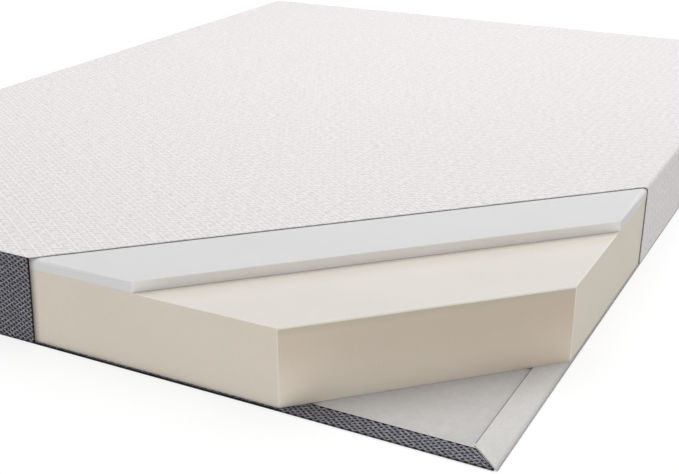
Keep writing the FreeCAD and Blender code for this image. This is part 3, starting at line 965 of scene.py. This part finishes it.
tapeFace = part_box("zip_tape_upper")[1].y
sliderLow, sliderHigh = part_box("zip_slider")
tabLow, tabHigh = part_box("zip_pull_tab")
stopLow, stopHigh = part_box("zip_stops")
hinge = Vector(((sliderLow.x + sliderHigh.x) / 2, (tabLow.y + tabHigh.y) / 2,
                (sliderLow.z + sliderHigh.z) / 2))  # the middle of the pull tab's pin

upperTape, lowerTape = tapeSheet("zip_tape_upper"), tapeSheet("zip_tape_lower")
upperCoil = coilRow("zip_coil_upper", 1, 0.0)
lowerCoil = coilRow("zip_coil_lower", -1, zipSet["pitch"] / 2)

stopPlates = []
for lowX, highX in ((stopLow.x, stopLow.x + 0.0036), (stopHigh.x - 0.0036, stopHigh.x)):
    stopPlates.append((box(lowX, highX, stopLow.z, stopHigh.z, 0.0006), tapeFace, stopHigh.y - 0.0004, 1))
    stopPlates.append((box(lowX + 0.0009, highX - 0.0009, stopLow.z + 0.0006, stopHigh.z - 0.0006, 0.0004),
                       stopHigh.y - 0.0007, stopHigh.y, 1))
stops = metalPiece("zip_stops_metal", stopPlates)


def sliderOutline(values):  # broad shoulders at the leading end, narrow at the other
    reach, half, narrow = (sliderHigh.x - sliderLow.x) / 2, (sliderHigh.z - sliderLow.z) / 2, values["edge"]
    upper = arcPoints((hinge.x + reach - 0.0012, hinge.z + half - narrow), narrow, 0, 90, 4)
    upper += arcPoints((hinge.x - reach + 0.0022, hinge.z + half - 0.0022), 0.0022, 90, 180, 6)
    return upper + [(x, 2 * hinge.z - z) for x, z in upper[::-1]]


def makeSlider(values):
    front, back = tapeFace + 0.0021, sliderLow.y
    outline = sliderOutline(values)
    plates = [(outline, front, front + 0.001, 1), (outline, back, back + 0.001, 1)]
    plates.append((box(hinge.x - 0.0015, hinge.x + 0.0015, hinge.z - 0.0003, hinge.z + 0.0003, 0.0002),
                   back + 0.0008, front + 0.0002, 1))
    lug = [(hinge.x + 0.0019, front + 0.0008), *arcPoints((hinge.x, hinge.y), 0.0016, 0, 180, 10),
           (hinge.x - 0.0019, front + 0.0008)]
    for side in (-1, 1):
        low, high = sorted((hinge.z + side * 0.0036, hinge.z + side * 0.0048))
        flange = box(sliderLow.x + 0.0016, sliderHigh.x - 0.0012, low + 0.0001, high - 0.0001, 0.0003)
        plates.append((flange, tapeFace + 0.0004, front + 0.0002, 1))
        low, high = sorted((hinge.z + side * 0.0022, hinge.z + side * 0.0032))
        plates.append((lug, low, high, 2))
    pin = arcPoints((hinge.x, hinge.y), 0.0007, 0, 345, 23)
    plates.append((pin, hinge.z - 0.0033, hinge.z + 0.0033, 2))
    return metalPiece("zip_slider_metal", plates)


def ringLoft(name, rings, look, sharp=35):  # closed both ways round
    verts = [place for ring in rings for place in ring]
    count, faces = len(rings[0]), []
    for k in range(len(rings)):
        near, far = k * count, (k + 1) % len(rings) * count
        faces += [[near + j, near + (j + 1) % count, far + (j + 1) % count, far + j] for j in range(count)]
    return meshPiece(name, verts, faces, look, sharp=sharp)


def makeTab(values):
    half, length, thick = (tabHigh.z - tabLow.z) / 2, tabHigh.x - hinge.x, 0.0005
    middle, reach, count = (length + values["start"]) / 2, (length - values["start"]) / 2, values["points"]

    def outer(k, inset):
        turn = 2 * math.pi * k / count
        c, d = math.cos(turn), math.sin(turn)
        x = middle + (reach - inset) * math.copysign(abs(c) ** 0.45, c)
        wide = values["neck"] / 2 + (half - values["neck"] / 2) * smooth(x, 0.0015, 0.008)
        return x, (wide - inset) * math.copysign(abs(d) ** 0.55, d)

    def hole(k, inset):
        turn, (place, radius) = 2 * math.pi * k / count, values["hole"]
        return place + (radius + inset) * math.cos(turn), (radius + inset) * math.sin(turn)

    rim = zipSet["rim"]
    steps = [(outer, 0.0, -0.2), (outer, 0.0, 0.2), (outer, 0.3, 0.8), (outer, 1.0, 1.0), (outer, 4.5, 1.0),
             (outer, 5.2, 0.6), (hole, 2.2, 0.6), (hole, 1.5, 1.0), (hole, 0.5, 1.0), (hole, 0.0, 0.5),
             (hole, 0.0, -0.5), (hole, 0.5, -1.0), (hole, 1.5, -1.0), (hole, 2.2, -0.6),
             (outer, 5.2, -0.6), (outer, 4.5, -1.0), (outer, 1.0, -1.0), (outer, 0.3, -0.8)]
    rings = []
    for shape, inset, level in steps:
        ring = [shape(k, inset * (rim * 0.6)) for k in range(count)]
        rings.append([(hinge.x + x, hinge.y + thick * level, hinge.z + z) for x, z in ring])
    blade = ringLoft("zip_pull_tab_metal", rings, "metal")
    eye, eyeHalf = [], 0.0019
    section = [(0.00078, -eyeHalf + 0.0001), (0.0009, -eyeHalf), (0.00115, -eyeHalf),
               (0.0013, -eyeHalf + 0.0002), (0.0013, eyeHalf - 0.0002), (0.00115, eyeHalf),
               (0.0009, eyeHalf), (0.00078, eyeHalf - 0.0001)]
    for radius, z in section:
        eye.append([(x, y, hinge.z + z) for x, y in arcPoints((hinge.x, hinge.y), radius, 0, 345, 23)])
    ring = ringLoft("eye", eye, "metal")
    both = [blade, ring]
    with bpy.context.temp_override(active_object=blade, object=blade, selected_editable_objects=both):
        bpy.ops.object.join()
    return blade


slider, pullTab = makeSlider(zipSet), makeTab(zipSet["blade"])
print("zip made")

# care label and the stitch rows on the head end
labelSet = {"curl": 0.0022, "step": 0.004}
stitchSet = {
    "length": 0.003, "pitch": 0.004, "radius": 0.0003,
    "rows": {"stitches_upper": (0.0703, -0.750, 0.750), "stitches_lower": (0.0497, -0.750, 0.750)},
}
labelLow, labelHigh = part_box("care_label")


def labelPoint(across, along, lift):  # stitched along its top, lifting a little at its foot
    share = (labelHigh.z - along) / (labelHigh.z - labelLow.z)
    curl = labelSet["curl"] * share * (1 + 0.4 * math.sin(across * 90))
    return (across, labelHigh.y + curl + lift, along)


label = clothSheet("care_label_cloth", "label", spread(labelLow.x, labelHigh.x, labelSet["step"]),
                   lambda across, lift: (labelLow.z, labelHigh.z), labelSet["step"], labelPoint,
                   labelHigh.y - labelLow.y)


def stitchRow(name, level, start, end, face):
    r, half, pitch = stitchSet["radius"], stitchSet["length"] / 2, stitchSet["pitch"]
    path = [(-half, face - r, level), (-half * 0.7, face + r * 0.5, level),
            (half * 0.7, face + r * 0.5, level + 0.0001), (half, face - r, level)]
    stitch = tubeMesh(name, [(z, y, x) for x, y, z in path], r, 6, "thread")
    for vert in stitch.data.vertices:  # turned to lie along the row
        vert.co = (vert.co.z, vert.co.y, vert.co.x)
    stitch.data.flip_normals()
    return applyShape(stitch, rowsShape, Count=int((end - start) / pitch) + 1, Start=(start, 0, 0),
                      Step=(pitch, 0, 0))


stitches = [stitchRow(name, level, start, end, halfLength)
            for name, (level, start, end) in stitchSet["rows"].items()]
stitches.append(stitchRow("stitches_label", labelHigh.z - 0.002, labelLow.x + 0.003, labelHigh.x - 0.003,
                          labelHigh.y))
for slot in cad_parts["foam_adhesive"].material_slots:
    slot.material = materials["adhesive"]
print("label and stitches made")

# the slot name each piece is listed under; each piece is attached to its body and the solid it stands for is
# hidden
slotTable = [
    ("white_knit", [knit]), ("dark_lining", [lining]),
    ("grey_mesh", [footWall, headLower, headUpper, footStrip, headStrip]),
    ("white_hem", [footBacking, headBacking, rightStrip, leftStrip]),
    ("bottom_cloth", [bottom]), ("core_foam", [core]), ("memory_foam", [memory]),
    ("zip_tape", [upperTape, lowerTape]), ("zip_coil", [upperCoil, lowerCoil]),
    ("zip_metal", [stops, slider, pullTab]), ("label_cloth", [label]), ("white_hem", stitches),
]
for slotName, pieces in slotTable:
    for piece in pieces:
        node = piece.name.rsplit("_", 1)[0]  # the solid that it stands for, and none for the stitches
        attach(piece, {"zip_slider": "slider", "zip_pull_tab": "pull_tab"}.get(node, "mattress"))
        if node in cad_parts:
            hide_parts(node)

# the cloths' flat sizes and the foams
sheetTable = [
    (knit, "stretched", [memory, core]), (lining, "stretched", [memory, core]),
    (footWall, "stretched", [core]), (headLower, "stretched", [core]), (headUpper, "stretched", [core]),
    (bottom, "laid", []), (footBacking, "laid", [bottom]), (headBacking, "laid", [bottom]),
    (footStrip, "folded", [footBacking]), (headStrip, "laid", [headBacking]),
    (rightStrip, "folded", [bottom]), (leftStrip, "folded", [bottom]),
    (upperTape, "laid", [headUpper]), (lowerTape, "laid", [headLower]), (label, "hung", [headLower]),
]
for piece, held, under in sheetTable:
    width, length, area = flatSizes[piece.name]
    min(area, width * length)
    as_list(under)
